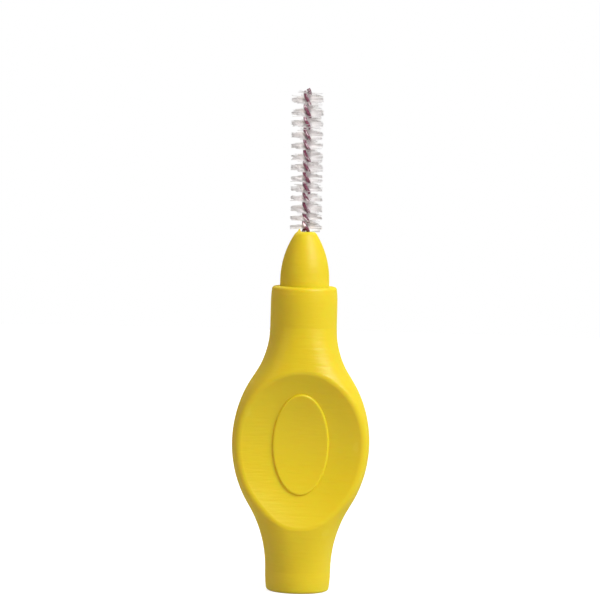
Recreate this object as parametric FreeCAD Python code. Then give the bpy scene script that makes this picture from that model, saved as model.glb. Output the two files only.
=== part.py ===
import FreeCAD, Part
import math
import os

from FreeCAD import Vector

# Interdental brush, in millimetres: a twisted-wire brush head in a hard nose, inside a soft thumb grip.
# +Z runs from the tail, which stands on z = 0, to the brush tip. The thumb faces look along -Y and +Y.

# Grip: a round tail and a round neck, with a thumb paddle swelling between them
grip_length = 32.1
tail_length = 2.2
neck_length = 4.3
tail_radius = 3.44
neck_radius = 3.5
tail_taper = 0.12
tail_taper_length = 2.0
tail_edge_radius = 0.3
collar_taper = 0.09
collar_taper_length = 1.7
collar_edge_radius = 0.3
paddle_height = 15.7
paddle_half_width = 7.22
paddle_half_depth = 4.6

# Share of each side of the paddle's outline that is hollow flare, how much sooner than its width the
# paddle gains depth (the lower, the sooner), and how square its section is
tail_flare_share = 0.51
neck_flare_share = 0.43
depth_gain_share = 0.55
paddle_corner_share = 0.6

# Thumb dishes, one on each face, and the raised oval plaque in each
dish_height = 14.95
dish_wall = 4.0
dish_length_radius = 17.5
dish_width_radius = 30.0
dish_rim_radius = 0.6
plaque_height = 15.65
plaque_half_length = 5.33
plaque_half_width = 2.95
plaque_step = 0.25
plaque_edge_radius = 0.17

# Nose insert: bullet nose above the collar, ribbed stem below it
nose_length = 5.7
nose_land_radius = 2.58
nose_land_length = 0.6
nose_tip_radius = 1.2
nose_tip_round = 0.28
stem_radius = 1.9
stem_length = 9.0
stem_end_chamfer = 0.4
rib_radius = 2.45
rib_width = 0.8
rib_pitch = 2.2
first_rib_depth = 2.4
rib_count = 2
key_hole_radius = 0.55
key_hole_depth = 7.2

# Brush wire: one hairpin of coated steel, its two legs twisted left-handed
steel_diameter = 0.26
coat_wall = 0.06
exposed_length = 15.0
seat_depth = 7.0
half_turn_count = 13.45
twist_growth_share = 1.33
bore_clearance = 0.02

# Filaments pinched between the legs, in columns side by side
filament_diameter = 0.076
filament_clearance = 0.012
column_count = 1
brush_diameter = 3.3
bare_neck_length = 0.36
bare_tip_length = 0.3

# How far cutting shapes run past what they cut, and how close an edge must lie to a face to be on it
overrun = 1.0
touch_tolerance = 0.001

# Smoothness of the grip and the wire
section_count = 25
half_section_steps = 16
steps_per_turn = 4

# Derived sizes that several pieces share
nose_tip_height = grip_length + nose_length
wire_tip_height = nose_tip_height + exposed_length
coat_radius = steel_diameter / 2 + coat_wall
pinch_gap = column_count * filament_diameter + (column_count + 1) * filament_clearance
leg_offset = coat_radius + pinch_gap / 2
bore_radius = leg_offset + coat_radius + bore_clearance
total_twist = half_turn_count * math.pi

ACROSS = Vector(1, 0, 0)
TO_BACK = Vector(0, 1, 0)
UP = Vector(0, 0, 1)
ORIGIN = Vector(0, 0, 0)
FULL_TURN = 360
HALF_TURN = 180
QUARTER_TURN = 90


def line(start, end):
    """Straight edge between two points."""
    return Part.LineSegment(start, end).toShape()


def outline(height):
    """Half width, half depth and fullness of the grip at a height; fullness is 1 at the widest."""
    above = height > paddle_height
    end_radius = neck_radius if above else tail_radius
    flare_share = neck_flare_share if above else tail_flare_share
    full_reach = grip_length - neck_length - paddle_height if above else paddle_height - tail_length
    reach = abs(height - paddle_height)
    growth = paddle_half_width - end_radius
    # A bulging arc and a hollow flare, tangent to each other, are upright where they end.
    both_radii = (full_reach ** 2 + growth ** 2) / (2 * growth)
    flare_radius = both_radii * flare_share
    bulge_radius = both_radii - flare_radius
    if reach * both_radii <= full_reach * bulge_radius:
        half_width = paddle_half_width - bulge_radius + math.sqrt(bulge_radius ** 2 - reach ** 2)
    else:
        half_width = end_radius + flare_radius - math.sqrt(flare_radius ** 2 - (full_reach - reach) ** 2)
    fullness = ((half_width - end_radius) / growth) ** depth_gain_share
    half_depth = end_radius + fullness * (paddle_half_depth - end_radius)
    return half_width, half_depth, fullness


def half_section(height, face):
    """Half of the grip's section, from its right edge to its left; face is -1 in front and +1 behind."""
    half_width, half_depth, fullness = outline(height)
    power = 1 / (1 + fullness * paddle_corner_share)
    points = []
    for index in range(half_section_steps + 1):
        angle = math.pi * index / half_section_steps
        across = math.copysign(abs(math.cos(angle)) ** power, math.cos(angle))
        deep = face * abs(math.sin(angle)) ** power
        points.append(Vector(half_width * across, half_depth * deep, height))
    curve = Part.BSplineCurve()
    curve.interpolate(Points=points, InitialTangent=TO_BACK * face, FinalTangent=TO_BACK * -face)
    return curve.toShape()


def paddle_section(height):
    """Closed section of the paddle: a squared oval."""
    return Part.Wire([half_section(height, -1), half_section(height, 1)])


def round_section(height, radius):
    """Round section where the paddle runs into the tail or the neck, in halves like the others."""
    right = Vector(radius, 0, height)
    left = Vector(-radius, 0, height)
    front = Part.Arc(right, Vector(0, -radius, height), left).toShape()
    back = Part.Arc(left, Vector(0, radius, height), right).toShape()
    return Part.Wire([front, back])


def arc_from(start, heading, end):
    """Arc that leaves a point along a heading and ends at another point."""
    chord = end - start
    along = chord / chord.Length
    lean = heading.getAngle(along)
    sideways = (heading - along * heading.dot(along)).normalize()
    middle = (start + end) / 2 + sideways * (chord.Length / 2 * math.tan(lean / 2))
    return Part.Arc(start, middle, end).toShape()


def heading_at_end(start, heading, end):
    """Heading at the end of the arc that arc_from makes."""
    along = (end - start).normalize()
    return along * (2 * heading.dot(along)) - heading


def round_end(radius, near, far, drawn_in, edge_radius):
    """Round bar from one height to another, drawn in by a taper over a length to its rounded far rim."""
    taper, taper_length = drawn_in
    outwards = UP * math.copysign(1, far - near)
    taper_start = Vector(radius, 0, far) - outwards * taper_length
    rim_start = Vector(radius - taper, 0, far) - outwards * edge_radius
    rim_end = Vector(radius - taper - edge_radius, 0, far)
    edges = [
        line(Vector(0, 0, near), Vector(radius, 0, near)),
        line(Vector(radius, 0, near), taper_start),
        arc_from(taper_start, outwards, rim_start),
        arc_from(rim_start, heading_at_end(taper_start, outwards, rim_start), rim_end),
        line(rim_end, Vector(0, 0, far)),
        line(Vector(0, 0, far), Vector(0, 0, near)),
    ]
    return Part.Face(Part.Wire(edges)).revolve(ORIGIN, UP, FULL_TURN)


def edges_on(shape, first, second):
    """Edges of a shape whose middle lies on the surfaces of both other shapes."""
    found = []
    for edge in shape.Edges:
        middle = Part.Vertex(edge.valueAt((edge.FirstParameter + edge.LastParameter) / 2))
        if all(middle.distToShape(shell)[0] < touch_tolerance for shell in first.Shells + second.Shells):
            found.append(edge)
    return found


def turned(shape, angle):
    """Copy of a shape, turned about the brush's own axis."""
    copy = shape.copy()
    copy.rotate(ORIGIN, UP, angle)
    return copy


def dish_barrel(rise):
    """Half barrel that hollows the front thumb face, its belly raised towards the thumb by a step."""
    axis_depth = -(dish_wall / 2 + dish_length_radius)
    belly = axis_depth + dish_length_radius - rise
    half_span = paddle_half_width + overrun
    width_radius = dish_width_radius - rise
    side = belly - width_radius + math.sqrt(width_radius ** 2 - half_span ** 2)
    left = Vector(-half_span, side, dish_height)
    middle = Vector(0, belly, dish_height)
    right = Vector(half_span, side, dish_height)
    axis_left = Vector(-half_span, axis_depth, dish_height)
    axis_right = Vector(half_span, axis_depth, dish_height)
    edges = [Part.Arc(left, middle, right).toShape()]
    edges += [line(right, axis_right), line(axis_right, axis_left), line(axis_left, left)]
    profile = Part.Face(Part.Wire(edges))
    profile.rotate(axis_left, ACROSS, -QUARTER_TURN)
    return profile.revolve(axis_left, ACROSS, HALF_TURN)


def plaque_prism():
    """Oval prism from the mid plane out through the front face, as wide as the plaque."""
    centre = Vector(0, 0, plaque_height)
    oval = Part.Ellipse(centre + UP * plaque_half_length, centre + ACROSS * plaque_half_width, centre)
    return Part.Face(Part.Wire([oval.toShape()])).extrude(-TO_BACK * (paddle_half_depth + overrun))


def make_grip(insert):
    """Soft grip: lofted body, dished on both faces round a raised plaque, moulded on the insert's stem."""
    neck_foot = grip_length - neck_length
    step = (neck_foot - tail_length) / (section_count - 1)
    sections = [paddle_section(tail_length + step * index) for index in range(1, section_count - 1)]
    sections.insert(0, round_section(tail_length, tail_radius))
    sections.append(round_section(neck_foot, neck_radius))
    paddle = Part.makeLoft(sections, True, False)
    tail = round_end(tail_radius, tail_length, 0, (tail_taper, tail_taper_length), tail_edge_radius)
    collar = (collar_taper, collar_taper_length)
    neck = round_end(neck_radius, neck_foot, grip_length, collar, collar_edge_radius)
    body = paddle.fuse([tail, neck])
    raised = dish_barrel(plaque_step)
    prism = plaque_prism()
    hollow = dish_barrel(0)
    cutter = hollow.cut(prism.cut(raised))
    grip = body
    for turn in (0, HALF_TURN):
        tool, floor, wall, top = (turned(shape, turn) for shape in (cutter, hollow, prism, raised))
        grip = grip.cut(tool)
        grip = grip.makeFillet(dish_rim_radius, edges_on(grip, body, floor))
        grip = grip.makeFillet(plaque_edge_radius, edges_on(grip, wall, top))
    return grip.cut(insert)


def make_insert():
    """Hard nose insert, before its wire bore: land, bullet side, round tip, and the ribbed stem below."""
    land_top = grip_length + nose_land_length
    side_top = nose_tip_height - nose_tip_round
    side_start = Vector(nose_land_radius, 0, land_top)
    side_end = Vector(nose_tip_radius, 0, side_top)
    tip_end = Vector(nose_tip_radius - nose_tip_round, 0, nose_tip_height)
    stem_foot = grip_length - stem_length
    corners = [
        Vector(0, 0, nose_tip_height),
        Vector(0, 0, stem_foot),
        Vector(stem_radius - stem_end_chamfer, 0, stem_foot),
        Vector(stem_radius, 0, stem_foot + stem_end_chamfer),
        Vector(stem_radius, 0, grip_length),
        Vector(nose_land_radius, 0, grip_length),
        side_start,
    ]
    edges = [line(tip_end, corners[0])]
    edges += [line(start, end) for start, end in zip(corners, corners[1:])]
    edges += [arc_from(side_start, UP, side_end)]
    edges += [arc_from(side_end, heading_at_end(side_start, UP, side_end), tip_end)]
    insert = Part.Face(Part.Wire(edges)).revolve(ORIGIN, UP, FULL_TURN)
    for index in range(rib_count):
        rib_top = grip_length - first_rib_depth - index * rib_pitch
        insert = insert.fuse(Part.makeCylinder(rib_radius, rib_width, Vector(0, 0, rib_top - rib_width)))
    key_start = Vector(0, -stem_radius - overrun, grip_length - key_hole_depth)
    key_length = 2 * (stem_radius + overrun)
    return insert.cut(Part.makeCylinder(key_hole_radius, key_length, key_start, TO_BACK))


def bore_insert(insert):
    """Insert with the blind bore that takes the twisted end of the wire."""
    foot = Vector(0, 0, nose_tip_height - seat_depth - bore_clearance)
    return insert.cut(Part.makeCylinder(bore_radius, seat_depth + bore_clearance + overrun, foot))


def twist_height(twist):
    """Height on the brush at which the legs have turned by an angle since the nose tip."""
    growth = twist_growth_share ** (twist / total_twist)
    return nose_tip_height + exposed_length * (growth - 1) / (twist_growth_share - 1)


def twist_at(height):
    """Angle by which the legs have turned at a height: the inverse of twist_height."""
    growth = 1 + (height - nose_tip_height) * (twist_growth_share - 1) / exposed_length
    return total_twist * math.log(growth, twist_growth_share)


def climb_rate(twist):
    """Height gained per radian of twist."""
    growth = twist_growth_share ** (twist / total_twist)
    return exposed_length * growth * math.log(twist_growth_share) / (twist_growth_share - 1) / total_twist


def leg_point(twist, side):
    """Point on one leg's centre line; side is +1 or -1, and the twist is left-handed."""
    offset = side * leg_offset
    return Vector(offset * math.cos(twist), -offset * math.sin(twist), twist_height(twist))


def leg_heading(twist, side):
    """Unit direction of one leg's centre line, upwards."""
    turn = -side * leg_offset
    return Vector(turn * math.sin(twist), turn * math.cos(twist), climb_rate(twist)).normalize()


def biarc(start, start_heading, end, end_heading):
    """Two arcs, tangent where they meet, from one point and heading to another."""
    chord = end - start
    both = start_heading + end_heading
    spread = 2 * (1 - start_heading.dot(end_heading))
    pull = chord.dot(both)
    reach = (math.sqrt(pull ** 2 + spread * chord.dot(chord)) - pull) / spread
    first_control = start + start_heading * reach
    second_control = end - end_heading * reach
    join = (first_control + second_control) / 2
    return [arc_from(start, start_heading, join), arc_from(join, second_control - join, end)]


def hairpin_path():
    """Centre line of the wire: down one leg from the tip, round the fold in the nose, and up the other."""
    largest_step = 2 * math.pi / steps_per_turn
    fold_height = nose_tip_height - seat_depth + coat_radius + leg_offset
    # The last step before the fold turns half as far, while the legs straighten.
    foot_twist = twist_at(fold_height + climb_rate(twist_at(fold_height)) * largest_step)
    step_count = math.ceil((total_twist - foot_twist) / largest_step)
    step = (total_twist - foot_twist) / step_count
    twists = [foot_twist + step * index for index in range(step_count + 1)]
    fold_twist = foot_twist - step / 2
    legs = []
    for side in (1, -1):
        knots = [(leg_point(twist, side), leg_heading(twist, side)) for twist in twists]
        straight = Vector(knots[0][0])
        straight.x = side * leg_offset * math.cos(fold_twist)
        straight.y = -side * leg_offset * math.sin(fold_twist)
        straight.z = fold_height
        legs.append([(straight, UP)] + knots)
    edges = []
    for (upper, upper_heading), (lower, lower_heading) in zip(legs[0][:0:-1], legs[0][-2::-1]):
        edges += biarc(upper, -upper_heading, lower, -lower_heading)
    fold_start = legs[0][0][0]
    fold_end = legs[1][0][0]
    fold_bottom = Vector(0, 0, fold_height - leg_offset)
    edges += [arc_from(fold_start, -UP, fold_bottom)]
    edges += [arc_from(fold_bottom, fold_end - fold_start, fold_end)]
    for (lower, lower_heading), (upper, upper_heading) in zip(legs[1], legs[1][1:]):
        edges += biarc(lower, lower_heading, upper, upper_heading)
    return Part.Wire(edges)


def swept_wire(path, radius):
    """Round solid of a radius along the wire's centre line."""
    start = path.Edges[0]
    first = start.FirstParameter
    ring = Part.Circle(start.valueAt(first), start.tangentAt(first), radius).toShape()
    return path.makePipeShell([Part.Wire([ring])], True, False)


def filament(height, column):
    """Straight filament through the twist at a height, square to the line between the two legs."""
    twist = twist_at(height)
    between = Vector(math.cos(twist), -math.sin(twist), 0)
    along = Vector(math.sin(twist), math.cos(twist), 0)
    offset = (column - (column_count - 1) / 2) * (filament_diameter + filament_clearance)
    start = between * offset - along * (brush_diameter / 2)
    start.z = height
    return Part.makeCylinder(filament_diameter / 2, brush_diameter, start, along)


def make_bristle_rows():
    """Filaments from the nose to the tip: a compound for each half turn, the last with the part turn too."""
    lowest = nose_tip_height + bare_neck_length
    highest = wire_tip_height - bare_tip_length
    pitch = filament_diameter + filament_clearance
    level_count = int((highest - lowest) / pitch) + 1
    last_row = int(half_turn_count) - 1
    rows = {}
    for level in range(level_count):
        height = lowest + level * pitch
        row = min(int(twist_at(height) / math.pi), last_row)
        for column in range(column_count):
            rows.setdefault(row, []).append(filament(height, column))
    return [Part.makeCompound(rows[row]) for row in sorted(rows)]


def main():
    """Make every piece and write each to its own file."""
    os.makedirs("parts", exist_ok=True)
    insert = make_insert()
    path = hairpin_path()
    steel = swept_wire(path, steel_diameter / 2)
    jacket = swept_wire(path, coat_radius)
    pieces = {
        "grip": make_grip(insert),
        "nose_insert": bore_insert(insert),
        "wire_core": steel,
        "wire_coat": jacket.cut(steel),
    }
    for index, row in enumerate(make_bristle_rows(), 1):
        pieces[f"bristle_row_{index:02d}"] = row
    tightest = min(edge.Curve.Radius for edge in path.Edges)
    print(f"wire length {path.Length:.2f}, tightest bend {tightest:.3f}, coat radius {coat_radius:.3f}")
    expected = math.pi * coat_radius ** 2 * path.Length
    print(f"jacket volume {jacket.Volume:.4f}, section times length {expected:.4f}")
    for name, shape in pieces.items():
        print(f"{name}: valid {shape.isValid()}, solids {len(shape.Solids)}, volume {shape.Volume:.4f}")
        shape.exportStep(f"parts/{name}.step")


main()
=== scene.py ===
"""Looks of the interdental brush: soft dished grip, bullet nose, twisted coated wire and its filaments.

Everything is in metres in the part's own frame: +Z runs from the tail to the brush tip, -Y out of the front
thumb face. Sizes of the pieces are written in millimetres and turned into metres by MM. Finishes are written
in metres, and the sizes of their patterns in cells per metre.
"""

import logging
import math
import random
from dataclasses import dataclass, field
from enum import Enum
from typing import Optional, Sequence, Union

import bpy
import numpy as np
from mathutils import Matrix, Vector


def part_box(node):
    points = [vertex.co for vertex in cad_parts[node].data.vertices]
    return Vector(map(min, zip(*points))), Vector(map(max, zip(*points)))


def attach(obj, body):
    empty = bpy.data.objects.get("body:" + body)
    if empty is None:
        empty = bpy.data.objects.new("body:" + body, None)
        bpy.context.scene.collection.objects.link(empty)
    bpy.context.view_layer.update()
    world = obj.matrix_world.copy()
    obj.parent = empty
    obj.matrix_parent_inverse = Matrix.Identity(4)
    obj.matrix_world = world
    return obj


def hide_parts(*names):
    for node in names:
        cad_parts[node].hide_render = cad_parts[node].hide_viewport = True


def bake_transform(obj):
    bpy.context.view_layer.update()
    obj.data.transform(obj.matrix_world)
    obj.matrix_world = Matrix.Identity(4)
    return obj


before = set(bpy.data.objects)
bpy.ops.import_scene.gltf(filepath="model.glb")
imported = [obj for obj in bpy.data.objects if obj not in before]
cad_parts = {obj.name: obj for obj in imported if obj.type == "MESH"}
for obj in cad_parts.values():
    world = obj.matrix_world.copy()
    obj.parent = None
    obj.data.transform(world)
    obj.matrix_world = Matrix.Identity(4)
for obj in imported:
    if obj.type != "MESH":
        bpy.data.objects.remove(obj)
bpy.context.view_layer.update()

MM = 0.001
SIDES = (-1, 1)
LOG = logging.getLogger("brush")

Colour = tuple[float, float, float]
Span = tuple[float, float]
Array = np.ndarray
Feed = Union[bpy.types.NodeSocket, float, Sequence[float]]

WHITE: Colour = (1.0, 1.0, 1.0)
UNIT: Span = (0.0, 1.0)


class Body(str, Enum):
    """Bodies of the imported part."""

    HANDLE = "handle"
    HEAD = "head"


class Slot(str, Enum):
    """Material slots of the record, one for each kind of piece made here."""

    NOSE = "nose_plastic"
    STEEL = "wire_steel"
    COAT = "wire_coating"
    NYLON = "bristle_nylon"


class Socket(str, Enum):
    """Kinds of socket that the shared effects use."""

    COLOUR = "NodeSocketColor"
    NUMBER = "NodeSocketFloat"


def rgba(colour: Colour) -> tuple[float, float, float, float]:
    """Colour with full opacity."""
    return (*colour, 1.0)


def link_piece(name: str, data: bpy.types.ID) -> bpy.types.Object:
    """Put a mesh, a lamp or a camera into the scene.

    Args:
        name: Name of the object.
        data: What the object shows.

    Returns:
        The new object.
    """
    piece = bpy.data.objects.new(name, data)
    bpy.context.scene.collection.objects.link(piece)
    return piece


class Wiring:
    """Short way to place and join nodes in one node tree."""

    # Factor and colours among the Mix node's sockets, which it has for every type of data.
    mix_inputs = (0, 6, 7)
    mix_output = 2

    def __init__(self, tree: bpy.types.NodeTree) -> None:
        """Keep the node tree of a material, a group or the world."""
        self.tree = tree

    def add(self, kind: str, settings: Optional[dict] = None, **inputs: Feed) -> bpy.types.Node:
        """Place a node.

        Args:
            kind: Blender's name for the node type.
            settings: Properties of the node itself.
            inputs: Socket values by name, with _ for a space; a socket given here is linked instead.

        Returns:
            The new node.
        """
        node = self.tree.nodes.new(kind)
        for key, value in (settings or {}).items():
            setattr(node, key, value)
        for key, value in inputs.items():
            self.put(node.inputs[key.replace("_", " ")], value)
        return node

    def put(self, socket: bpy.types.NodeSocket, value: Feed) -> None:
        """Set a socket to a value, or link it when the value is another socket.

        Args:
            socket: Input socket of a node in the tree.
            value: What goes into it.
        """
        if isinstance(value, bpy.types.NodeSocket):
            self.tree.links.new(value, socket)
        else:
            socket.default_value = value

    def attribute(self, name: str) -> bpy.types.NodeSocket:
        """Value that a mesh keeps at each of its points."""
        return self.add("ShaderNodeAttribute", {"attribute_name": name}).outputs["Fac"]

    def math(self, operation: str, first: Feed, second: Feed = 0.0) -> bpy.types.NodeSocket:
        """Result of a sum with two numbers.

        Args:
            operation: Blender's name for the sum, such as MULTIPLY.
            first: First number.
            second: Second number.

        Returns:
            Socket of the result.
        """
        node = self.add("ShaderNodeMath", {"operation": operation})
        self.put(node.inputs[0], first)
        self.put(node.inputs[1], second)
        return node.outputs[0]

    def remap(self, value: Feed, source: Span, target: Span = UNIT) -> bpy.types.NodeSocket:
        """Value carried from one range to another, held inside the second.

        Args:
            value: The value.
            source: Range that it comes from.
            target: Range that it goes to.

        Returns:
            Socket of the new value.
        """
        node = self.add("ShaderNodeMapRange")
        for name, number in zip(("From Min", "From Max", "To Min", "To Max"), (*source, *target)):
            node.inputs[name].default_value = number
        self.put(node.inputs["Value"], value)
        return node.outputs["Result"]

    def mix(self, share: Feed, first: Feed, second: Feed) -> bpy.types.NodeSocket:
        """Colour between two colours.

        Args:
            share: How much of the second colour there is, from 0 to 1.
            first: First colour.
            second: Second colour.

        Returns:
            Socket of the mixed colour.
        """
        node = self.add("ShaderNodeMix", {"data_type": "RGBA"})
        for index, value in zip(self.mix_inputs, (share, first, second)):
            self.put(node.inputs[index], value)
        return node.outputs[self.mix_output]


class SharedEffect:
    """A shader node group that is built once and placed in any material."""

    name = ""
    inputs: tuple[tuple[str, Socket, Union[float, Sequence[float]]], ...] = ()
    outputs: tuple[tuple[str, Socket], ...] = ()

    def tree(self) -> bpy.types.NodeTree:
        """Build the group the first time that it is asked for.

        Returns:
            The group.
        """
        found = bpy.data.node_groups.get(self.name)
        if found:
            return found
        tree = bpy.data.node_groups.new(self.name, "ShaderNodeTree")
        for name, kind, value in self.inputs:
            tree.interface.new_socket(name, in_out="INPUT", socket_type=kind.value).default_value = value
        for name, kind in self.outputs:
            tree.interface.new_socket(name, in_out="OUTPUT", socket_type=kind.value)
        wiring = Wiring(tree)
        self.fill(wiring, wiring.add("NodeGroupInput").outputs, wiring.add("NodeGroupOutput").inputs)
        return tree

    def fill(self, wiring: Wiring, given: bpy.types.NodeOutputs, wanted: bpy.types.NodeInputs) -> None:
        """Join the group's inputs to its outputs.

        Args:
            wiring: The group's tree.
            given: Sockets of the group's inputs, by name.
            wanted: Sockets of the group's outputs, by name.
        """
        raise NotImplementedError

    def place(self, wiring: Wiring, **inputs: Feed) -> bpy.types.Node:
        """Group node in a material, with its inputs given by name and _ for a space."""
        return wiring.add("ShaderNodeGroup", {"node_tree": self.tree()}, **inputs)


class Mottle(SharedEffect):
    """Slow drift between two colours, as in pigmented plastic that was not mixed perfectly."""

    name = "Mottle"
    inputs = (
        ("Colour", Socket.COLOUR, (1, 1, 1, 1)),
        ("Drift Colour", Socket.COLOUR, (0, 0, 0, 1)),
        ("Size", Socket.NUMBER, 300.0),
        ("Amount", Socket.NUMBER, 0.5),
    )
    outputs = (("Colour", Socket.COLOUR),)
    detail = 3.0
    coarseness = 0.55
    cloud_range: Span = (0.32, 0.68)

    def fill(self, wiring: Wiring, given: bpy.types.NodeOutputs, wanted: bpy.types.NodeInputs) -> None:
        """Let noise in the part's own space decide how far the colour drifts.

        Args:
            wiring: The group's tree.
            given: Sockets of the group's inputs, by name.
            wanted: Sockets of the group's outputs, by name.
        """
        place = wiring.add("ShaderNodeTexCoord").outputs["Object"]
        noise = wiring.add("ShaderNodeTexNoise", Vector=place, Scale=given["Size"], Detail=self.detail)
        noise.inputs["Roughness"].default_value = self.coarseness
        cloud = wiring.remap(noise.outputs["Fac"], self.cloud_range)
        share = wiring.math("MULTIPLY", cloud, given["Amount"])
        wiring.put(wanted["Colour"], wiring.mix(share, given["Colour"], given["Drift Colour"]))


class MouldGrain(SharedEffect):
    """Fine matt texture that a spark-eroded mould leaves on plastic."""

    name = "Mould grain"
    inputs = (
        ("Grain Size", Socket.NUMBER, 12000.0),
        ("Wave Size", Socket.NUMBER, 900.0),
        ("Wave", Socket.NUMBER, 0.4),
        ("Ring Size", Socket.NUMBER, 3200.0),
        ("Rings", Socket.NUMBER, 0.0),
    )
    outputs = (("Height", Socket.NUMBER), ("Pits", Socket.NUMBER))
    detail = 2.0
    ring_stretch = (0.14, 0.14, 1.0)

    def fill(self, wiring: Wiring, given: bpy.types.NodeOutputs, wanted: bpy.types.NodeInputs) -> None:
        """Lay pitted cells on a slow, shallow unevenness, with the faint rings of a turned mould.

        Args:
            wiring: The group's tree.
            given: Sockets of the group's inputs, by name.
            wanted: Sockets of the group's outputs, by name.
        """
        place = wiring.add("ShaderNodeTexCoord").outputs["Object"]
        cells = wiring.add("ShaderNodeTexVoronoi", {"feature": "SMOOTH_F1"}, Vector=place)
        wiring.put(cells.inputs["Scale"], given["Grain Size"])
        fine = wiring.add("ShaderNodeTexNoise", Vector=place, Scale=given["Grain Size"], Detail=self.detail)
        slow = wiring.add("ShaderNodeTexNoise", Vector=place, Scale=given["Wave Size"], Detail=self.detail)
        pits = wiring.math("ADD", cells.outputs["Distance"], fine.outputs["Fac"])
        swell = wiring.math("MULTIPLY", slow.outputs["Fac"], given["Wave"])
        drawn_out = wiring.add("ShaderNodeVectorMath", {"operation": "MULTIPLY"})
        wiring.put(drawn_out.inputs[0], place)
        wiring.put(drawn_out.inputs[1], self.ring_stretch)
        marks = wiring.add("ShaderNodeTexNoise", Vector=drawn_out.outputs[0], Scale=given["Ring Size"])
        rings = wiring.math("MULTIPLY", marks.outputs["Fac"], given["Rings"])
        uneven = wiring.math("ADD", swell, rings)
        wiring.put(wanted["Height"], wiring.math("ADD", pits, uneven))
        wiring.put(wanted["Pits"], pits)


class RubbedEdge(SharedEffect):
    """Patchy mask on convex edges, where handling polishes the surface."""

    name = "Rubbed edge"
    inputs = (("Patch Size", Socket.NUMBER, 700.0), ("Amount", Socket.NUMBER, 0.6))
    outputs = (("Mask", Socket.NUMBER),)
    detail = 4.0
    convex_range: Span = (0.502, 0.56)
    patch_range: Span = (0.4, 0.65)

    def fill(self, wiring: Wiring, given: bpy.types.NodeOutputs, wanted: bpy.types.NodeInputs) -> None:
        """Find convex edges and break them up by noise.

        Args:
            wiring: The group's tree.
            given: Sockets of the group's inputs, by name.
            wanted: Sockets of the group's outputs, by name.
        """
        pointiness = wiring.add("ShaderNodeNewGeometry").outputs["Pointiness"]
        bulge = wiring.remap(pointiness, self.convex_range)
        place = wiring.add("ShaderNodeTexCoord").outputs["Object"]
        noise = wiring.add("ShaderNodeTexNoise", Vector=place, Scale=given["Patch Size"], Detail=self.detail)
        patches = wiring.remap(noise.outputs["Fac"], self.patch_range)
        broken = wiring.math("MULTIPLY", bulge, patches)
        wiring.put(wanted["Mask"], wiring.math("MULTIPLY", broken, given["Amount"]))


class DrawnLines(SharedEffect):
    """Lengthwise streaks along wire and filament: the faint lines that a drawing die leaves, and the pattern
    of the coat's painted highlight streaks.
    """

    name = "Drawn lines"
    inputs = (("Across", Socket.NUMBER, 20.0), ("Along", Socket.NUMBER, 900.0))
    outputs = (("Height", Socket.NUMBER), ("Streak", Socket.NUMBER))
    detail = 3.0
    streak_range: Span = (0.35, 0.65)

    def fill(self, wiring: Wiring, given: bpy.types.NodeOutputs, wanted: bpy.types.NodeInputs) -> None:
        """Stretch noise along the strand by the strand's own coordinates.

        Args:
            wiring: The group's tree.
            given: Sockets of the group's inputs, by name.
            wanted: Sockets of the group's outputs, by name.
        """
        around, along = wiring.attribute("around"), wiring.attribute("along")
        place = wiring.add("ShaderNodeCombineXYZ")
        wiring.put(place.inputs[0], wiring.math("MULTIPLY", around, given["Across"]))
        wiring.put(place.inputs[1], wiring.math("MULTIPLY", along, given["Along"]))
        noise = wiring.add("ShaderNodeTexNoise", Vector=place.outputs[0], Scale=1.0, Detail=self.detail)
        wiring.put(wanted["Height"], noise.outputs["Fac"])
        wiring.put(wanted["Streak"], wiring.remap(noise.outputs["Fac"], self.streak_range))


class MouldSeam(SharedEffect):
    """Thin line along both sides, where the halves of the mould met."""

    name = "Mould seam"
    inputs = (("Half Width", Socket.NUMBER, 4e-5), ("From Axis", Socket.NUMBER, 0.002))
    outputs = (("Mask", Socket.NUMBER),)
    full_until = 0.5

    def fill(self, wiring: Wiring, given: bpy.types.NodeOutputs, wanted: bpy.types.NodeInputs) -> None:
        """Mark what is close to the mid plane and clear of the axis.

        Args:
            wiring: The group's tree.
            given: Sockets of the group's inputs, by name.
            wanted: Sockets of the group's outputs, by name.
        """
        place = wiring.add("ShaderNodeTexCoord").outputs["Object"]
        parts = wiring.add("ShaderNodeSeparateXYZ", Vector=place).outputs
        depth = wiring.math("DIVIDE", wiring.math("ABSOLUTE", parts["Y"]), given["Half Width"])
        line = wiring.remap(depth, (self.full_until, 1.0), (1.0, 0.0))
        outside = wiring.math("GREATER_THAN", wiring.math("ABSOLUTE", parts["X"]), given["From Axis"])
        wiring.put(wanted["Mask"], wiring.math("MULTIPLY", line, outside))


MOTTLE = Mottle()
MOULD_GRAIN = MouldGrain()
RUBBED_EDGE = RubbedEdge()
DRAWN_LINES = DrawnLines()
MOULD_SEAM = MouldSeam()


def new_material(name: str) -> tuple[bpy.types.Material, Wiring, bpy.types.Node]:
    """Empty material with a Principled shader.

    Args:
        name: Name of the material.

    Returns:
        The material, its wiring, and the shader node.
    """
    material = bpy.data.materials.new(name)
    material.use_nodes = True
    material.node_tree.nodes.clear()
    wiring = Wiring(material.node_tree)
    shader = wiring.add("ShaderNodeBsdfPrincipled")
    output = wiring.add("ShaderNodeOutputMaterial")
    wiring.put(output.inputs["Surface"], shader.outputs[0])
    return material, wiring, shader


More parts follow.
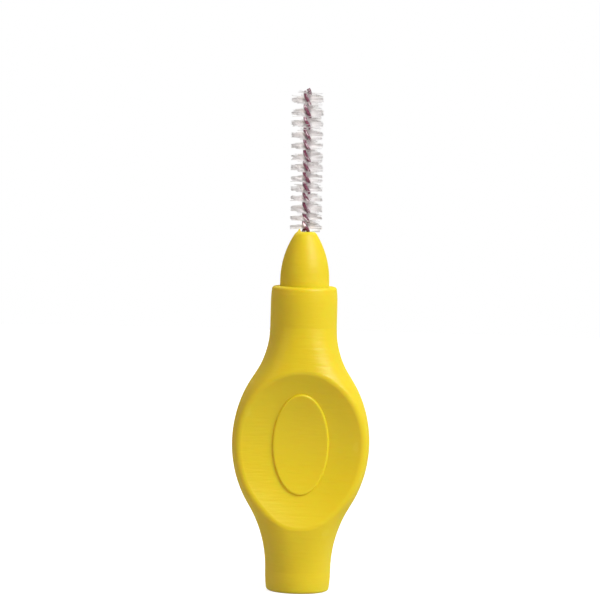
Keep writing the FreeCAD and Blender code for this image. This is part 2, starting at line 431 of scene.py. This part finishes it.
@dataclass(frozen=True)
class SatinMoulding:
    """Finish of pigmented moulded plastic: satin, slightly see-through, finely textured."""

    name: str
    colour: Colour
    drift: Colour
    rubbed: Colour
    roughness: Span
    grain_size: float
    grain_depth: float
    glow: float
    glow_reach: float
    glow_spread: Colour = (1.0, 0.4, 0.05)
    shine: float = 0.4
    ior: float = 1.49
    drift_size: float = 240.0
    drift_amount: float = 0.5
    rubbed_size: float = 650.0
    rubbed_amount: float = 0.5
    rubbed_polish: float = 0.08
    wave_size: float = 700.0
    wave: float = 0.8
    turning_marks: float = 12.0
    pit_range: Span = (0.3, 1.3)
    glancing_blend: float = 0.35
    glancing_dullness: float = 0.6
    seam_half_width: float = 4.5e-5
    seam_from_axis: float = 0.0015
    seam_height: float = 1.2
    bump_strength: float = 0.3

    def material(self) -> bpy.types.Material:
        """Build the finish.

        Returns:
            The material.
        """
        material, wiring, shader = new_material(self.name)
        mottle = MOTTLE.place(wiring, Colour=rgba(self.colour), Drift_Colour=rgba(self.drift))
        mottle.inputs["Size"].default_value = self.drift_size
        mottle.inputs["Amount"].default_value = self.drift_amount
        edges = RUBBED_EDGE.place(wiring, Patch_Size=self.rubbed_size, Amount=self.rubbed_amount)
        rubbed = edges.outputs["Mask"]
        colour = wiring.mix(rubbed, mottle.outputs["Colour"], rgba(self.rubbed))
        wiring.put(shader.inputs["Base Color"], colour)
        grain = MOULD_GRAIN.place(wiring, Grain_Size=self.grain_size, Rings=self.turning_marks)
        grain.inputs["Wave Size"].default_value = self.wave_size
        grain.inputs["Wave"].default_value = self.wave
        matt = wiring.remap(grain.outputs["Pits"], self.pit_range, self.roughness[::-1])
        glancing = wiring.add("ShaderNodeLayerWeight", Blend=self.glancing_blend).outputs["Facing"]
        duller = wiring.math("MULTIPLY", glancing, self.glancing_dullness)
        polished = wiring.math("SUBTRACT", matt, wiring.math("MULTIPLY", rubbed, self.rubbed_polish))
        wiring.put(shader.inputs["Roughness"], wiring.math("ADD", polished, duller))
        seam = MOULD_SEAM.place(wiring, Half_Width=self.seam_half_width, From_Axis=self.seam_from_axis)
        ridge = wiring.math("MULTIPLY", seam.outputs["Mask"], self.seam_height)
        height = wiring.math("ADD", grain.outputs["Height"], ridge)
        bump = wiring.add("ShaderNodeBump", Strength=self.bump_strength, Distance=self.grain_depth)
        wiring.put(bump.inputs["Height"], height)
        wiring.put(shader.inputs["Normal"], bump.outputs["Normal"])
        shader.inputs["IOR"].default_value = self.ior
        shader.inputs["Specular IOR Level"].default_value = self.shine
        shader.inputs["Subsurface Weight"].default_value = self.glow
        shader.inputs["Subsurface Radius"].default_value = self.glow_spread
        shader.inputs["Subsurface Scale"].default_value = self.glow_reach
        return material


@dataclass(frozen=True)
class DrawnFinish:
    """What the finishes of drawn strands share: a drifting colour, and die lines in gloss and surface."""

    name: str
    colour: Colour
    drift: Colour
    drift_size: float
    roughness: Span
    die_lines: Span
    line_strength: float
    line_depth: float

    def tint(self, wiring: Wiring, colour: Feed, amount: Feed) -> bpy.types.NodeSocket:
        """Colour that drifts along the strand.

        Args:
            wiring: The material's tree.
            colour: Colour that it starts from.
            amount: How far it drifts, from 0 to 1.

        Returns:
            Socket of the colour.
        """
        mottle = MOTTLE.place(wiring, Colour=colour, Drift_Colour=rgba(self.drift), Amount=amount)
        mottle.inputs["Size"].default_value = self.drift_size
        return mottle.outputs["Colour"]

    def mark(self, wiring: Wiring, shader: bpy.types.Node) -> None:
        """Let the die lines vary the gloss and the surface.

        Args:
            wiring: The material's tree.
            shader: Its shader node.
        """
        across, along = self.die_lines
        lines = DRAWN_LINES.place(wiring, Across=across, Along=along)
        gloss = wiring.remap(lines.outputs["Streak"], UNIT, self.roughness)
        wiring.put(shader.inputs["Roughness"], gloss)
        bump = wiring.add("ShaderNodeBump", Strength=self.line_strength, Distance=self.line_depth)
        wiring.put(bump.inputs["Height"], lines.outputs["Height"])
        wiring.put(shader.inputs["Normal"], bump.outputs["Normal"])


@dataclass(frozen=True)
class TintedCoat(DrawnFinish):
    """Finish of the wire's coating: dark glossy tinted plastic with painted pale highlight streaks along it.
    """

    drift_amount: float
    painted_highlight: Colour
    painted_highlight_lines: Span
    painted_highlight_range: Span
    shine: float
    sheen_of_steel: float
    ior: float

    def material(self) -> bpy.types.Material:
        """Build the finish.

        Returns:
            The material.
        """
        material, wiring, shader = new_material(self.name)
        tinted = self.tint(wiring, rgba(self.colour), self.drift_amount)
        # Painted highlight: pale streaks in the coat's colour stand in for the lamp's glossy highlight along
        # each strand.
        across, along = self.painted_highlight_lines
        highlight_streaks = DRAWN_LINES.place(wiring, Across=across, Along=along)
        painted_highlight_share = wiring.remap(highlight_streaks.outputs["Streak"], self.painted_highlight_range)
        wiring.put(shader.inputs["Base Color"], wiring.mix(painted_highlight_share, tinted, rgba(self.painted_highlight)))
        self.mark(wiring, shader)
        shader.inputs["IOR"].default_value = self.ior
        shader.inputs["Metallic"].default_value = self.sheen_of_steel
        shader.inputs["Specular IOR Level"].default_value = self.shine
        return material


@dataclass(frozen=True)
class DrawnSteel(DrawnFinish):
    """Finish of the steel wire, seen where it is cut at the tip."""

    drift_amount: float

    def material(self) -> bpy.types.Material:
        """Build the finish.

        Returns:
            The material.
        """
        material, wiring, shader = new_material(self.name)
        wiring.put(shader.inputs["Base Color"], self.tint(wiring, rgba(self.colour), self.drift_amount))
        self.mark(wiring, shader)
        shader.inputs["Metallic"].default_value = 1.0
        return material


@dataclass(frozen=True)
class ClearNylon(DrawnFinish):
    """Finish of the filaments: drawn nylon that lets light through, painted paler towards the wire to lift
    the shade that falls there.
    """

    root_painted_light: Colour
    root_painted_light_range: Span
    clearness: float
    shadow: float
    ior: float
    glow: float
    glow_reach: float

    def material(self) -> bpy.types.Material:
        """Build the finish.

        Returns:
            The material.
        """
        material, wiring, shader = new_material(self.name)
        along, shade = wiring.attribute("along"), wiring.attribute("shade")
        # Painted light: the colour is paler towards the wire, to lift the shade that falls on the filaments
        # there.
        from_painted_root = wiring.remap(along, self.root_painted_light_range)
        tinted = wiring.mix(from_painted_root, rgba(self.root_painted_light), rgba(self.colour))
        wiring.put(shader.inputs["Base Color"], self.tint(wiring, tinted, shade))
        self.mark(wiring, shader)
        to_lamp = wiring.add("ShaderNodeLightPath").outputs["Is Shadow Ray"]
        wiring.put(shader.inputs["Alpha"], wiring.remap(to_lamp, UNIT, (1.0, self.shadow)))
        shader.inputs["IOR"].default_value = self.ior
        shader.inputs["Transmission Weight"].default_value = self.clearness
        shader.inputs["Subsurface Weight"].default_value = self.glow
        shader.inputs["Subsurface Radius"].default_value = WHITE
        shader.inputs["Subsurface Scale"].default_value = self.glow_reach
        return material


GRIP_FINISH = SatinMoulding(
    name="Satin elastomer",
    colour=(0.82, 0.645, 0.006),
    drift=(0.79, 0.605, 0.005),
    rubbed=(0.85, 0.69, 0.03),
    roughness=(0.30, 0.38),
    grain_size=16000.0,
    grain_depth=1.0e-5,
    glow=0.55,
    glow_reach=0.0013,
)
NOSE_FINISH = SatinMoulding(
    name="Satin nose plastic",
    colour=(0.81, 0.635, 0.008),
    drift=(0.78, 0.60, 0.007),
    rubbed=(0.86, 0.71, 0.04),
    roughness=(0.38, 0.48),
    grain_size=14000.0,
    grain_depth=0.8e-5,
    glow=0.45,
    glow_reach=0.0010,
)
COAT_FINISH = TintedCoat(
    name="Magenta wire coat",
    colour=(0.17, 0.006, 0.055),
    drift=(0.09, 0.003, 0.025),
    drift_size=2600.0,
    drift_amount=0.8,
    # Painted highlight: pale streak colour and where it shows along the coat.
    painted_highlight=(0.94, 0.80, 0.86),
    painted_highlight_lines=(3.0, 1300.0),
    painted_highlight_range=(0.7, 0.88),
    roughness=(0.10, 0.16),
    die_lines=(2.5, 4500.0),
    line_strength=1.0,
    line_depth=2.5e-4,
    shine=0.9,
    sheen_of_steel=0.2,
    ior=1.5,
)
STEEL_FINISH = DrawnSteel(
    name="Drawn steel",
    colour=(0.24, 0.22, 0.23),
    drift=(0.12, 0.11, 0.12),
    drift_size=9000.0,
    drift_amount=0.8,
    roughness=(0.35, 0.55),
    die_lines=(3.0, 2500.0),
    line_strength=0.3,
    line_depth=3e-6,
)
NYLON_FINISH = ClearNylon(
    name="Clear nylon",
    colour=(0.71, 0.695, 0.70),
    drift=(0.67, 0.66, 0.66),
    drift_size=1500.0,
    # Painted light: paler colour towards the wire, and the share of the length that it covers.
    root_painted_light=(0.985, 0.97, 0.975),
    root_painted_light_range=(0.32, 0.82),
    roughness=(0.26, 0.40),
    die_lines=(2.0, 6.0),
    line_strength=0.15,
    line_depth=2e-6,
    clearness=0.8,
    shadow=0.03,
    ior=1.22,
    glow=0.7,
    glow_reach=0.0001,
)


class Strands:
    """Mesh of round strands, with coordinates along and around each one for its finish."""

    steep = 0.9
    quad_corners = 4

    def __init__(self) -> None:
        """Start empty."""
        self.points: list[Array] = []
        self.faces: list[tuple[int, ...]] = []
        self.along: list[Array] = []
        self.around: list[Array] = []
        self.shade: list[Array] = []
        self.count = 0

    def add(
        self, line: Array, radius: float, sides: int, along: Array, bore: float = 0.0, shade: float = 0.0
    ) -> None:
        """Sweep a round section along a line and close its ends.

        Args:
            line: Centre line, one point a row.
            radius: Outer radius.
            sides: Points round the section.
            along: Value of the lengthwise coordinate at each point of the line.
            bore: Radius of a hole along the strand; 0 for a solid strand.
            shade: How dull this strand is, from 0 to 1.
        """
        before = self.count
        outer = self.wall(line, radius, sides, along)
        last = len(line) - 1
        if bore > 0:
            inner = self.wall(line, bore, sides, along, inside_out=True)
            for row, flip in ((0, True), (last, False)):
                self.bridge(outer + row * sides, inner + row * sides, sides, flip)
        else:
            self.faces.append(tuple(outer + sides - 1 - index for index in range(sides)))
            self.faces.append(tuple(outer + last * sides + index for index in range(sides)))
        self.shade.append(np.full(self.count - before, shade))

    def wall(self, line: Array, radius: float, sides: int, along: Array, inside_out: bool = False) -> int:
        """Rings of points round a line, joined by quads.

        Args:
            line: Centre line.
            radius: Radius of the rings.
            sides: Points in a ring.
            along: Lengthwise coordinate at each ring.
            inside_out: Whether the faces look inwards.

        Returns:
            Index of the first point.
        """
        first = self.count
        heading = np.gradient(line, axis=0)
        heading /= np.linalg.norm(heading, axis=1)[:, None]
        angles = np.arange(sides) * 2 * math.pi / sides
        level = abs(heading[0][2]) < self.steep
        side = np.cross(heading[0], (0.0, 0.0, 1.0) if level else (1.0, 0.0, 0.0))
        for row, (centre, forward) in enumerate(zip(line, heading)):
            side = side - forward * side.dot(forward)
            side /= np.linalg.norm(side)
            other = np.cross(forward, side)
            ring = centre + radius * (np.cos(angles)[:, None] * side + np.sin(angles)[:, None] * other)
            self.points.append(ring)
            self.along.append(np.full(sides, along[row]))
            self.around.append(np.sin(angles))
        self.count += sides * len(line)
        for row in range(len(line) - 1):
            self.bridge(first + row * sides, first + (row + 1) * sides, sides, inside_out)
        return first

    def bridge(self, low: int, high: int, sides: int, flip: bool) -> None:
        """Join two rings of points by quads.

        Args:
            low: Index of the first point of one ring.
            high: Index of the first point of the other ring.
            sides: Points in a ring.
            flip: Whether the faces look the other way.
        """
        for index in range(sides):
            following = (index + 1) % sides
            quad = (low + index, low + following, high + following, high + index)
            self.faces.append(quad[::-1] if flip else quad)

    def build(self, name: str, material: bpy.types.Material) -> bpy.types.Object:
        """Turn the strands into an object, smooth along its walls and flat at its cut ends.

        Args:
            name: Name of the piece.
            material: Its finish.

        Returns:
            The new object, in the scene.
        """
        mesh = bpy.data.meshes.new(name)
        mesh.from_pydata(np.concatenate(self.points).tolist(), [], self.faces)
        for label, values in (("along", self.along), ("around", self.around), ("shade", self.shade)):
            data = mesh.attributes.new(label, "FLOAT", "POINT").data
            data.foreach_set("value", np.concatenate(values).astype(np.float32))
        smooth = [len(polygon.vertices) == self.quad_corners for polygon in mesh.polygons]
        mesh.polygons.foreach_set("use_smooth", smooth)
        mesh.materials.append(material)
        return link_piece(name, mesh)


@dataclass
class Moulding:
    """A packed plastic piece that keeps its solid's shape and gets a finish."""

    node: str
    finish: SatinMoulding

    def dress(self) -> bpy.types.Material:
        """Give the piece its finish.

        Returns:
            The finish's material.
        """
        material = self.finish.material()
        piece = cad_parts[self.node]
        piece.data.materials.clear()
        piece.data.materials.append(material)
        LOG.info("%s: dressed in %s", self.node, material.name)
        return material


@dataclass
class NoseInsert(Moulding):
    """Nose with the torn moulding flash round its wire hole and filament ends caught in it. Millimetres."""

    flash_inner: float = 0.5
    flash_crest: float = 0.66
    flash_outer: float = 0.93
    flash_height: float = 0.035
    flash_least: float = 0.01
    flash_ripple: float = 0.022
    flash_foot: float = 0.03
    flash_steps: int = 72
    wave_counts: tuple[int, ...] = (2, 3, 5, 8, 13)
    wave_sizes: Span = (0.4, 1.0)
    spike_height: float = 0.34
    spike_turn: float = math.pi
    spike_width: float = 0.2
    caught_reach: Span = (0.6, 1.45)
    caught_depth: float = -0.2
    caught_rise: float = 0.06
    caught_slopes: tuple[float, ...] = (0.0, 0.05, 0.09, 0.15)
    caught_radius: float = 0.035
    caught_sides: int = 8
    caught_stations: int = 6
    seed: int = 3

    def build(self) -> None:
        """Dress the nose and add the flash and the caught filament ends."""
        material = self.dress()
        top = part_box(self.node)[1].z / MM
        self.attach(self.flash(top, material), Slot.NOSE)
        self.attach(self.caught_filament(top), Slot.NYLON)

    def attach(self, piece: bpy.types.Object, slot: Slot) -> None:
        """Fix a small piece to the handle.

        Args:
            piece: The piece.
            slot: Its material slot in the record; not used.
        """
        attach(piece, Body.HANDLE.value)
        LOG.info("%s: added on %s", piece.name, self.node)

    def flash(self, top: float, material: bpy.types.Material) -> bpy.types.Object:
        """Thin uneven ring with one torn spike.

        Args:
            top: Height of the nose's flat tip.
            material: Finish of the nose.

        Returns:
            The ring's object.
        """
        draw = random.Random(self.seed)
        waves = []
        for count in self.wave_counts:
            waves.append((count, draw.uniform(0, 2 * math.pi), draw.uniform(*self.wave_sizes)))
        points, faces = [], []
        foot = top - self.flash_foot
        for step in range(self.flash_steps):
            turn = 2 * math.pi * step / self.flash_steps
            ripple = sum(size * math.sin(count * turn + start) for count, start, size in waves) / len(waves)
            spike = self.spike_height * math.exp(-(((turn - self.spike_turn) / self.spike_width) ** 2))
            crest = top + max(self.flash_height + self.flash_ripple * ripple, self.flash_least) + spike
            profile = ((self.flash_inner, foot), (self.flash_crest, crest), (self.flash_outer, foot))
            for radius, height in profile:
                points.append((radius * math.cos(turn) * MM, radius * math.sin(turn) * MM, height * MM))
            corners = len(profile)
            low, high = corners * step, corners * ((step + 1) % self.flash_steps)
            for side in range(corners):
                other = (side + 1) % corners
                faces.append((low + side, low + other, high + other, high + side))
        mesh = bpy.data.meshes.new("nose_flash")
        mesh.from_pydata(points, [], faces)
        mesh.materials.append(material)
        return link_piece("nose_flash", mesh)

    def caught_filament(self, top: float) -> bpy.types.Object:
        """Short tuft of filament ends caught in the flash and sticking out to the side.

        Args:
            top: Height of the nose's flat tip.

        Returns:
            The tuft's object.
        """
        share = np.linspace(0.0, 1.0, self.caught_stations)
        across = self.caught_reach[0] + share * (self.caught_reach[1] - self.caught_reach[0])
        strands = Strands()
        for order, slope in enumerate(self.caught_slopes):
            height = top + self.caught_rise + slope * share
            depth = np.full_like(share, self.caught_depth + order * self.caught_radius)
            line = np.stack([across, depth, height], axis=1)
            strands.add(line * MM, self.caught_radius * MM, self.caught_sides, share, shade=1.0)
        return strands.build("caught_filament", NYLON_FINISH.material())


@dataclass
class Twist:
    """The two twisted legs of the wire: where they are at each height. Lengths in millimetres."""

    exposed_length: float = 15.0
    half_turns: float = 13.45
    growth: float = 1.33
    leg_offset: float = 0.24
    lean: float = -0.0105
    nose_tip: float = field(init=False)

    def __post_init__(self) -> None:
        """Take the nose tip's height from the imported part."""
        self.nose_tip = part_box("nose_insert")[1].z / MM

    @property
    def total(self) -> float:
        """Whole twist between the nose tip and the wire tip, in radians."""
        return self.half_turns * math.pi

    def height(self, twist: Array) -> Array:
        """Height at which the legs have turned by an angle since the nose tip."""
        climbed = self.exposed_length * (self.growth ** (twist / self.total) - 1)
        return self.nose_tip + climbed / (self.growth - 1)

    def angle(self, height: float) -> float:
        """Angle by which the legs have turned at a height."""
        ratio = 1 + (height - self.nose_tip) * (self.growth - 1) / self.exposed_length
        return self.total * math.log(ratio, self.growth)

    def sway(self, height: Array) -> Array:
        """How far the slightly bent wire stands off the axis at a height."""
        return self.lean * np.maximum(height - self.nose_tip, 0.0)

    def leg(self, twist: Array, side: int) -> Array:
        """Centre line of one leg.

        Args:
            twist: Angles at which its points are wanted.
            side: Which leg, +1 or -1.

        Returns:
            One point a row.
        """
        height = self.height(twist)
        across = side * self.leg_offset * np.cos(twist) + self.sway(height)
        deep = -side * self.leg_offset * np.sin(twist)
        return np.stack([across, deep, height], axis=1)


@dataclass
class TwistedWire:
    """Coated hairpin wire: two twisted legs from inside the nose to the cut tip. Lengths in millimetres."""

    twist: Twist
    coat_radius: float = 0.19
    steel_radius: float = 0.13
    buried_length: float = 6.0
    steps_per_turn: int = 48
    coat_sides: int = 24
    steel_sides: int = 16
    bend_below: float = 1.0
    bend_above: float = 0.6
    uneven_cut: float = 0.3

    def legs(self) -> list[Array]:
        """Centre lines of both legs, from inside the nose to the tip, the first cut a little shorter.

        Returns:
            The two lines, in metres.
        """
        foot = self.twist.angle(self.twist.nose_tip - self.buried_length)
        steps = int((self.twist.total - foot) / (2 * math.pi) * self.steps_per_turn)
        short = self.twist.angle(self.twist.nose_tip + self.twist.exposed_length - self.uneven_cut)
        ends = ((1, short), (-1, self.twist.total))
        return [self.twist.leg(np.linspace(foot, end, steps), side) * MM for side, end in ends]

    def build(self) -> None:
        """Make the coating and the steel."""
        coat, steel = Strands(), Strands()
        for line in self.legs():
            along = np.concatenate([[0.0], np.cumsum(np.linalg.norm(np.diff(line, axis=0), axis=1))])
            coat.add(line, self.coat_radius * MM, self.coat_sides, along, self.steel_radius * MM)
            steel.add(line, self.steel_radius * MM, self.steel_sides, along)
        for strands, name, finish, node, slot in (
            (coat, "twisted_coat", COAT_FINISH, "wire_coat", Slot.COAT),
            (steel, "twisted_steel", STEEL_FINISH, "wire_core", Slot.STEEL),
        ):
            self.attach(strands.build(name, finish.material()), node, slot)

    def attach(self, piece: bpy.types.Object, node: str, slot: Slot) -> None:
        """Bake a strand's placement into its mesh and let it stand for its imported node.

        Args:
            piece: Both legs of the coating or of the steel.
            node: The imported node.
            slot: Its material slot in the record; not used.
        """
        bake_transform(piece)
        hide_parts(node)
        LOG.info("%s: stands for %s", piece.name, node)


@dataclass
class Clump:
    """How the tips of a few neighbouring filaments are drawn together on one side of the wire."""

    height: float
    turn: float
    gather: float
    lean: float
    swing: float


@dataclass
class BristleHead:
    """Filaments pinched in the twist, a row for each half turn. Millimetres and radians."""

    twist: Twist
    reach: float = 1.69
    radius: float = 0.033
    per_millimetre: float = 40.0
    pinch: float = 0.014
    trim: float = 0.03
    clump_sizes: tuple[int, int] = (3, 7)
    gather: Span = (0.0, 0.3)
    clump_lean: float = 0.03
    clump_swing: float = 0.16
    own_lean: float = 0.018
    own_swing: float = 0.36
    backward_comb: float = 0.12
    sides: int = 8
    stations: int = 13
    seed: int = 7

    def rows(self) -> list[str]:
        """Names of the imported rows, from the nose to the tip."""
        return sorted(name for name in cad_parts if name.startswith("bristle_row_"))

    def build(self) -> None:
        """Make every row in its packed row's place."""
        draw = random.Random(self.seed)
        material = NYLON_FINISH.material()
        for node in self.rows():
            low, high = (corner.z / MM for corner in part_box(node))
            count = round((high - low) * self.per_millimetre)
            span = high - low - 2 * self.radius
            heights = [low + self.radius + span * (index + draw.random()) / count for index in range(count)]
            strands = Strands()
            halves = [self.clumps(heights, draw) for _ in SIDES]
            for height, left, right in zip(heights, *halves):
                self.filament(strands, height, (left, right), draw)
            piece = strands.build(node.replace("bristle", "filament"), material)
            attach(piece, Body.HEAD.value)
            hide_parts(node)
            LOG.info("%s: %d filaments stand for %s", piece.name, count, node)

    def clumps(self, heights: Sequence[float], draw: random.Random) -> list[Clump]:
        """Clump that each filament of a row belongs to, on one side of the wire.

        Args:
            heights: Heights at which the filaments are pinched, upwards.
            draw: Source of the seeded variation.

        Returns:
            One clump for each height.
        """
        found: list[Clump] = []
        while len(found) < len(heights):
            size = min(draw.randint(*self.clump_sizes), len(heights) - len(found))
            middle = sum(heights[len(found):len(found) + size]) / size
            lean, swing = draw.gauss(0, self.clump_lean), draw.gauss(0, self.clump_swing)
            clump = Clump(middle, self.twist.angle(middle), draw.uniform(*self.gather), lean, swing)
            found += [clump] * size
        return found

    def filament(
        self, strands: Strands, height: float, clumps: Sequence[Clump], draw: random.Random
    ) -> None:
        """Add one filament, pinched in the middle, with each half drawn to its own clump.

        Args:
            strands: Mesh of the row.
            height: Height at which it is pinched.
            clumps: Clumps of its two halves.
            draw: Source of the seeded variation.
        """
        turn = self.twist.angle(height)
        offset = draw.uniform(-self.pinch, self.pinch)
        share = np.linspace(-1.0, 1.0, self.stations)
        line = np.zeros((self.stations, 3))
        for side, clump in zip(SIDES, clumps):
            half = share * side >= 0
            run = np.abs(share[half]) * self.reach * (1 - draw.uniform(0, self.trim))
            ease = run / self.reach
            lean = clump.lean + draw.gauss(0, self.own_lean)
            swing = clump.swing + draw.gauss(0, self.own_swing) + (clump.turn - turn) * clump.gather
            turned = turn + swing * ease
            rise = lean * run + (clump.height - height) * clump.gather * ease ** 2
            line[half, 0] = side * np.sin(turned) * run + offset * math.cos(turn) + self.twist.sway(height)
            line[half, 1] = side * np.cos(turned) * run - offset * math.sin(turn)
            line[half, 2] = height + rise - self.backward_comb * line[half, 1]
        strands.add(line * MM, self.radius * MM, self.sides, np.abs(share), shade=draw.random())


def seen_background(wiring: Wiring) -> bpy.types.NodeSocket:
    """Mask of the rays that show the background: to the camera, in a reflection or through nylon.

    Args:
        wiring: Tree of the floor's material or of the world.

    Returns:
        Socket that is 1 for those rays.
    """
    path = wiring.add("ShaderNodeLightPath").outputs
    mirrored = wiring.math("MAXIMUM", path["Is Glossy Ray"], path["Is Transmission Ray"])
    return wiring.math("MAXIMUM", path["Is Camera Ray"], mirrored)


@dataclass(frozen=True)
class SoftLamp:
    """Large square light: azimuth to the right of the camera, elevation above the floor, power in watts."""

    name: str
    azimuth: float
    elevation: float
    distance: float
    size: float
    power: float
    colour: Colour = WHITE


@dataclass
class Studio:
    """Floor, lights and camera. Lengths in millimetres, angles in degrees."""

    photo_pixels: int = 600
    pixel_size: float = 0.105
    foot_row: float = 591.8
    axis_column: float = 304.2
    lens: float = 200.0
    sensor: float = 36.0
    elevation: float = 3.4
    roll: float = 1.4
    floor_radius: float = 400.0
    floor_corners: int = 96
    floor_gap: float = 0.01
    floor_colour: Colour = (0.42, 0.42, 0.42)
    floor_roughness: float = 0.9
    floor_glow: float = 0.82
    lamp_target: float = 26.0
    ambient: float = 0.15
    ambient_colour: Colour = (1.0, 0.84, 0.62)
    lamps: tuple[SoftLamp, ...] = (
        SoftLamp("key", 49.0, 40.0, 800.0, 560.0, 7.0),
        SoftLamp("fill", -60.0, 24.0, 900.0, 500.0, 1.15, (1.0, 0.66, 0.42)),
        SoftLamp("back", -170.0, 48.0, 900.0, 400.0, 2.7, (1.0, 0.92, 0.82)),
    )

    def build(self) -> None:
        """Make the whole studio."""
        bpy.context.scene.view_settings.view_transform = "Standard"
        self.camera()
        self.floor()
        self.world()
        for lamp in self.lamps:
            self.light(lamp)
        LOG.info("studio: camera, floor and lamps in place")

    def camera(self) -> None:
        """Set up a long lens at the photograph's angle, with its slight roll."""
        middle = self.photo_pixels / 2
        across = (middle - self.axis_column) * self.pixel_size
        up = (self.foot_row - middle) * self.pixel_size
        distance = self.photo_pixels * self.pixel_size * self.lens / self.sensor
        rise = math.radians(self.elevation)
        place = Vector((across, 0, up)) + distance * Vector((0, -math.cos(rise), math.sin(rise)))
        data = bpy.data.cameras.new("camera")
        data.lens = self.lens
        data.sensor_width = self.sensor
        data.clip_start = MM
        camera = link_piece("camera", data)
        camera.location = place * MM
        camera.rotation_euler = (math.radians(90 - self.elevation), 0, 0)
        camera.rotation_euler.rotate_axis("Z", math.radians(self.roll))
        bpy.context.scene.camera = camera

    def floor(self) -> None:
        """Lay a pale round floor that keeps the part's shadow and can be looked through from below."""
        mesh = bpy.data.meshes.new("floor")
        radius, height = self.floor_radius * MM, -self.floor_gap * MM
        angles = [2 * math.pi * index / self.floor_corners for index in range(self.floor_corners)]
        ring = [(radius * math.cos(angle), radius * math.sin(angle), height) for angle in angles]
        mesh.from_pydata(ring, [], [tuple(range(self.floor_corners))])
        floor = link_piece("floor", mesh)
        material, wiring, shader = new_material("Pale floor")
        shader.inputs["Base Color"].default_value = rgba(self.floor_colour)
        shader.inputs["Roughness"].default_value = self.floor_roughness
        shader.inputs["Emission Color"].default_value = rgba(WHITE)
        glow = wiring.math("MULTIPLY", seen_background(wiring), self.floor_glow)
        wiring.put(shader.inputs["Emission Strength"], glow)
        below = wiring.add("ShaderNodeNewGeometry").outputs["Backfacing"]
        wiring.put(shader.inputs["Alpha"], wiring.math("SUBTRACT", 1.0, below))
        mesh.materials.append(material)

    def world(self) -> None:
        """Give soft light from all round, and a white background where the camera looks past the floor."""
        world = bpy.data.worlds.new("studio")
        bpy.context.scene.world = world
        world.use_nodes = True
        world.node_tree.nodes.clear()
        wiring = Wiring(world.node_tree)
        seen = seen_background(wiring)
        colour = wiring.mix(seen, rgba(self.ambient_colour), rgba(WHITE))
        strength = wiring.remap(seen, UNIT, (self.ambient, 1.0))
        background = wiring.add("ShaderNodeBackground", Strength=strength, Color=colour)
        output = wiring.add("ShaderNodeOutputWorld")
        wiring.put(output.inputs["Surface"], background.outputs[0])

    def light(self, lamp: SoftLamp) -> None:
        """Hang one lamp, facing the middle of the part.

        Args:
            lamp: The lamp.
        """
        data = bpy.data.lights.new(lamp.name, "AREA")
        data.size = lamp.size * MM
        data.energy = lamp.power
        data.color = lamp.colour
        middle = Vector((0, 0, self.lamp_target))
        turn, rise = math.radians(lamp.azimuth), math.radians(lamp.elevation)
        away = Vector((math.sin(turn) * math.cos(rise), -math.cos(turn) * math.cos(rise), math.sin(rise)))
        piece = link_piece(lamp.name, data)
        piece.location = (middle + away * lamp.distance) * MM
        piece.rotation_euler = away.to_track_quat("Z", "Y").to_euler()


def main() -> None:
    """Build and dress every sub-assembly, then the studio."""
    logging.basicConfig(level=logging.INFO, format="%(name)s %(message)s")
    Moulding("grip", GRIP_FINISH).dress()
    NoseInsert("nose_insert", NOSE_FINISH).build()
    twist = Twist()
    TwistedWire(twist).build()
    BristleHead(twist).build()
    Studio().build()


if __name__ == "__main__":
    main()
